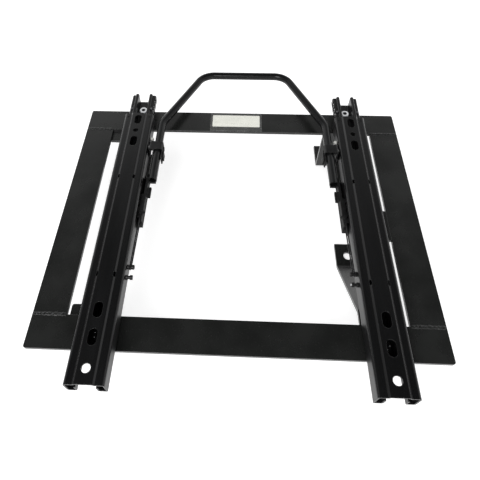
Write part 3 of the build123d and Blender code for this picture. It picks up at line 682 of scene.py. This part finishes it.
def placePiece(name, bm, finish, body):
    bmesh.ops.recalc_face_normals(bm, faces=bm.faces)
    mesh = bpy.data.meshes.new(name)
    bm.to_mesh(mesh)
    bm.free()
    mesh.materials.append(finishes[finish])
    addPiece(name, mesh, body)


def spanX(fromX, inward, near, far):
    return sorted((fromX + inward * near, fromX + inward * far))


shadeTray = {
    "drop": 0.0025, "sheet": 0.0012, "underRail": 0.0065, "width": 0.0072, "rearReach": 0.0018,
    "frontInset": 0.002, "lipFar": 0.0009, "lipStart": 0.0024, "lipHeight": 0.0041, "padNear": 0.0008,
    "padInset": 0.0006, "padStarts": (-0.0017, 0.0005), "padLength": 0.0012, "padSink": 0.0002,
    "padCorner": 0.0001,
}


def makeShadeTray(side, inward, wallX):
    # dark strip under the lever and the coil spring, a sheet that paints the shade in the gap there, with
    # pads up to the hinge ears and a lip on the wall
    leverLow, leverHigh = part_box(side + "_lock_lever")
    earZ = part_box(side + "_hinge_bracket")[0][2]
    low = leverLow[2] - shadeTray["drop"]
    top = low + shadeTray["sheet"]
    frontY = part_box(side + "_handle_bracket")[1][1] - shadeTray["frontInset"]
    bm = bmesh.new()
    x = spanX(wallX, inward, -shadeTray["underRail"], shadeTray["width"])
    addBlock(bm, (x[0], leverLow[1] - shadeTray["rearReach"], low), (x[1], frontY, top))
    x = spanX(wallX, inward, wallGap, shadeTray["lipFar"])
    addBlock(bm, (x[0], leverHigh[1] + shadeTray["lipStart"], top), (x[1], frontY, top + shadeTray["lipHeight"]))
    x = spanX(wallX, inward, shadeTray["padNear"], shadeTray["width"] - shadeTray["padInset"])
    for leverEnd, start in zip((leverLow[1], leverHigh[1]), shadeTray["padStarts"]):
        y = leverEnd + start
        addBlock(bm, (x[0], y, top - shadeTray["padSink"]), (x[1], y + shadeTray["padLength"], earZ + wallGap),
                 shadeTray["padCorner"])
    placePiece(side + "_springShadeTray", bm, "leverPaint", side + "_carriage")


leverLip = {
    "near": 0.00425, "reach": 0.0036, "rearInset": 0.0070, "frontInset": 0.0165, "thickness": 0.0006,
    "corner": 0.0002, "washerY": 0.0135, "washerRadius": 0.0030, "washerHeight": 0.0006,
    "headRadius": 0.0015, "headHeight": 0.0009,
}


def makeLeverLip(side, inward, wallX):
    # folded lip along the top of the lever, with the washer and head of its rivet
    low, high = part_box(side + "_lock_lever")
    top = high[2] + leverLip["thickness"]
    bm = bmesh.new()
    x = spanX(wallX, inward, leverLip["near"], leverLip["near"] + leverLip["reach"])
    addBlock(bm, (x[0], low[1] + leverLip["rearInset"], high[2]),
             (x[1], high[1] - leverLip["frontInset"], top), leverLip["corner"])
    washerX = wallX + inward * (leverLip["near"] + leverLip["washerRadius"] + wallGap)
    middle = (washerX, low[1] + leverLip["washerY"], top)
    addDisc(bm, middle, (0, 0, 1), leverLip["washerRadius"], leverLip["washerHeight"], leverLip["corner"])
    addDisc(bm, middle, (0, 0, 1), leverLip["headRadius"], leverLip["washerHeight"] + leverLip["headHeight"])
    placePiece(side + "_leverLip", bm, "leverPaint", side + "_lock")


tabPad = {"near": 0.0098, "far": 0.0138, "rear": 0.0425, "front": 0.0605, "low": 0.0050, "high": 0.0006,
          "corner": 0.0006}


def makeTabPad(side, inward, wallX):
    # rubber end on the lever's release tab
    low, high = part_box(side + "_lock_lever")
    bm = bmesh.new()
    x = spanX(wallX, inward, tabPad["near"], tabPad["far"])
    addBlock(bm, (x[0], low[1] + tabPad["rear"], high[2] - tabPad["low"]),
             (x[1], low[1] + tabPad["front"], high[2] - tabPad["high"]), tabPad["corner"])
    placePiece(side + "_tabPad", bm, "rubber", side + "_lock")


studCaps = {
    "boxInset": 0.0022, "pitch": 0.015, "end": 0.0090, "radius": 0.0032, "length": 0.0033,
    "proud": 0.0003, "corner": 0.0006, "collarLength": 0.0029, "collarCorner": 0.0004,
    "tipRadius": 0.0014, "tipLength": 0.0005, "tipCorner": 0.0001,
}


def makeStudCaps(side, inward, wallX):
    # caps and collars on the two spring studs, and a bright end on the rear one as a painted highlight
    low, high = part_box(side + "_spring_studs")
    rearY = low[1] + studCaps["boxInset"]
    z = high[2] - studCaps["boxInset"]
    endX = wallX + inward * studCaps["end"]
    axis = (inward, 0, 0)
    bm = bmesh.new()
    for y in (rearY, rearY + studCaps["pitch"]):
        addDisc(bm, (endX - inward * studCaps["length"], y, z), axis, studCaps["radius"],
                studCaps["length"] + studCaps["proud"], studCaps["corner"])
        addDisc(bm, (wallX + inward * wallGap, y, z), axis, studCaps["radius"],
                studCaps["collarLength"], studCaps["collarCorner"])
    placePiece(side + "_studCaps", bm, "leverPaint", side + "_carriage")
    bm = bmesh.new()
    # near-white disc on the rear cap's end: painted highlight
    addDisc(bm, (endX + inward * studCaps["proud"], rearY, z), axis, studCaps["tipRadius"],
            studCaps["tipLength"], studCaps["tipCorner"])
    placePiece(side + "_studTipHighlight", bm, "zincAndHighlight", side + "_carriage")


saddlePad = {"thickness": 0.0026, "rear": 0.0040, "length": 0.011, "low": 0.0165, "high": 0.0040,
             "corner": 0.0008}


def makeSaddlePad(side, inward):
    # rubber pad on the outer leg of the saddle
    low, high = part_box(side + "_handle_bracket")
    outerX = faceX(side + "_handle_bracket", -inward)
    bm = bmesh.new()
    x = spanX(outerX, inward, wallGap, saddlePad["thickness"])
    y = low[1] + saddlePad["rear"]
    addBlock(bm, (x[0], y, high[2] - saddlePad["low"]),
             (x[1], y + saddlePad["length"], high[2] - saddlePad["high"]), saddlePad["corner"])
    placePiece(side + "_saddlePad", bm, "rubber", side + "_carriage")


stopPlug = {"coilInset": 0.0025, "ahead": 0.0053, "reach": 0.0056, "length": 0.0060, "height": 0.0058,
            "corner": 0.0020}


def makeStopPlug(side, inward, wallX):
    # nylon plug pressed in the wall just in front of the coil
    low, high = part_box(side + "_spring_studs")
    coilY, coilZ = high[1] - stopPlug["coilInset"], low[2] + stopPlug["coilInset"]
    bm = bmesh.new()
    x = spanX(wallX, inward, wallGap, stopPlug["reach"])
    y = coilY + stopPlug["ahead"]
    half = stopPlug["height"] / 2
    addBlock(bm, (x[0], y, coilZ - half), (x[1], y + stopPlug["length"], coilZ + half), stopPlug["corner"])
    placePiece(side + "_stopPlug", bm, "nylon", side + "_carriage")


dimples = {"shoulderDrop": 0.0022, "shoulderReach": 0.0175, "frontInset": 0.0075, "sink": 0.0002,
           "radius": 0.0017, "height": 0.00028, "corner": 0.0001}


def makeDimples(side):
    # punched marks on both shoulders near the front end of the upper rail
    low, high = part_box(side + "_upper_rail")
    middle = (low[0] + high[0]) / 2
    z = high[2] - dimples["shoulderDrop"] - dimples["sink"]
    bm = bmesh.new()
    for reach in (-dimples["shoulderReach"], dimples["shoulderReach"]):
        addDisc(bm, (middle + reach, high[1] - dimples["frontInset"], z), (0, 0, 1), dimples["radius"],
                dimples["height"], dimples["corner"])
    placePiece(side + "_shoulderDimples", bm, "rubber", side + "_carriage")


for side, inward in sides:
    wallX = faceX(side + "_hinge_bracket", inward)
    makeShadeTray(side, inward, wallX)
    makeLeverLip(side, inward, wallX)
    makeTabPad(side, inward, wallX)
    makeStudCaps(side, inward, wallX)
    makeSaddlePad(side, inward)
    makeStopPlug(side, inward, wallX)
    makeDimples(side)
print("small formed parts made")


# Floor, world, lamp and camera

floorLook = {"size": 8.0, "colour": (0.86, 0.86, 0.86), "roughness": 0.8, "specular": 0.2, "glow": 0.56}


def anyRay(tree, *rays):
    # 1 where the ray is of one of these kinds
    path = addNode(tree, "ShaderNodeLightPath")
    seen = path.outputs[rays[0]]
    for ray in rays[1:]:
        seen = addMath(tree, "MAXIMUM", seen, path.outputs[ray])
    return seen


def makeFloor():
    mesh = bpy.data.meshes.new("studioFloor")
    half = floorLook["size"] / 2
    corners = [(-half, -half, 0), (half, -half, 0), (half, half, 0), (-half, half, 0)]
    mesh.from_pydata(corners, [], [(0, 1, 2, 3)])
    floor = bpy.data.objects.new("studioFloor", mesh)
    bpy.context.collection.objects.link(floor)
    material, tree, shader = startMaterial("studioFloor")
    shader.inputs["Base Color"].default_value = (*floorLook["colour"], 1)
    shader.inputs["Roughness"].default_value = floorLook["roughness"]
    shader.inputs["Specular IOR Level"].default_value = floorLook["specular"]
    shader.inputs["Emission Color"].default_value = (1, 1, 1, 1)
    seen = anyRay(tree, "Is Camera Ray", "Is Glossy Ray", "Is Transmission Ray")
    glow = addMath(tree, "MULTIPLY", seen, floorLook["glow"])
    tree.links.new(glow, shader.inputs["Emission Strength"])
    mesh.materials.append(material)


# The camera sees white, and polished faces see a studio: dark overhead, and uneven from left to right
studio = {
    "white": 1.0, "overhead": 0.03, "band": (0.42, 0.88), "fill": 0.72,
    "across": ((0.05, 0.30), (0.17, 1.0), (0.30, 1.0), (0.40, 1.0), (0.63, 0.50), (0.76, 1.0), (0.87, 0.70),
               (1.0, 0.60)),
}


def makeWorld():
    world = bpy.data.worlds.new("studioWorld")
    world.use_nodes = True
    tree = world.node_tree
    sky = tree.nodes["Background"]
    sky.inputs["Color"].default_value = (1, 1, 1, 1)
    coords = addNode(tree, "ShaderNodeTexCoord")
    split = addNode(tree, "ShaderNodeSeparateXYZ", values={"Vector": coords.outputs["Generated"]})
    height = mapRange(tree, split.outputs["Z"], studio["band"], (studio["white"], studio["overhead"]),
                      "SMOOTHSTEP")
    across = addNode(tree, "ShaderNodeValToRGB",
                     values={"Fac": mapRange(tree, split.outputs["X"], (-1.0, 1.0))})
    stops = across.color_ramp.elements
    while len(stops) < len(studio["across"]):
        stops.new(0.5)  # set to its place below
    for stop, (place, level) in zip(stops, studio["across"]):
        stop.position = place
        stop.color = (level, level, level, 1)
    gloss = addMath(tree, "MULTIPLY", height, across.outputs["Color"])
    glossy = anyRay(tree, "Is Glossy Ray")
    mirrored = addNode(tree, "ShaderNodeMix", {"data_type": "FLOAT"},
                       {0: glossy, 2: studio["fill"], 3: gloss})
    seen = anyRay(tree, "Is Camera Ray", "Is Transmission Ray")
    strength = addNode(tree, "ShaderNodeMix", {"data_type": "FLOAT"},
                       {0: seen, 2: mirrored.outputs[0], 3: studio["white"]})
    tree.links.new(strength.outputs[0], sky.inputs["Strength"])
    bpy.context.scene.world = world


keyLamp = {"place": (-0.7, -1.5, 1.9), "size": 1.2, "power": 26.0}


def makeLamp(name, lamp):
    data = bpy.data.lights.new(name, "AREA")
    data.shape = "SQUARE"
    data.size = lamp["size"]
    data.energy = lamp["power"]
    obj = bpy.data.objects.new(name, data)
    obj.location = lamp["place"]
    obj.rotation_euler = (-Vector(lamp["place"])).to_track_quat("-Z", "Y").to_euler()
    bpy.context.collection.objects.link(obj)


camera = {
    "place": (-0.0047, -0.4071, 0.6345), "yaw": -3.98, "pitch": 53.85, "roll": -1.73,
    "focalPixels": 455.5, "imagePixels": 480.0, "centre": (216.5, 204.9), "sensorWidth": 36.0,
    "clipStart": 0.01,
}


def makeCamera():
    yaw, pitch, roll = (math.radians(camera[key]) for key in ("yaw", "pitch", "roll"))
    ahead = Vector((math.sin(yaw) * math.cos(pitch), math.cos(yaw) * math.cos(pitch), -math.sin(pitch)))
    level = Vector((math.cos(yaw), -math.sin(yaw), 0))
    upright = level.cross(ahead)
    right = math.cos(roll) * level + math.sin(roll) * upright
    up = -math.sin(roll) * level + math.cos(roll) * upright
    pixels = camera["imagePixels"]
    data = bpy.data.cameras.new("photoCamera")
    data.sensor_width = camera["sensorWidth"]
    data.lens = data.sensor_width * camera["focalPixels"] / pixels
    data.shift_x = (pixels / 2 - camera["centre"][0]) / pixels
    data.shift_y = (camera["centre"][1] - pixels / 2) / pixels
    data.clip_start = camera["clipStart"]
    obj = bpy.data.objects.new("photoCamera", data)
    turn = Matrix((right, up, -ahead)).transposed().to_4x4()
    obj.matrix_world = Matrix.Translation(camera["place"]) @ turn
    bpy.context.collection.objects.link(obj)
    bpy.context.scene.camera = obj


makeFloor()
makeWorld()
makeLamp("keyLamp", keyLamp)
makeCamera()
bpy.context.scene.view_settings.view_transform = "Standard"
print("studio set up")
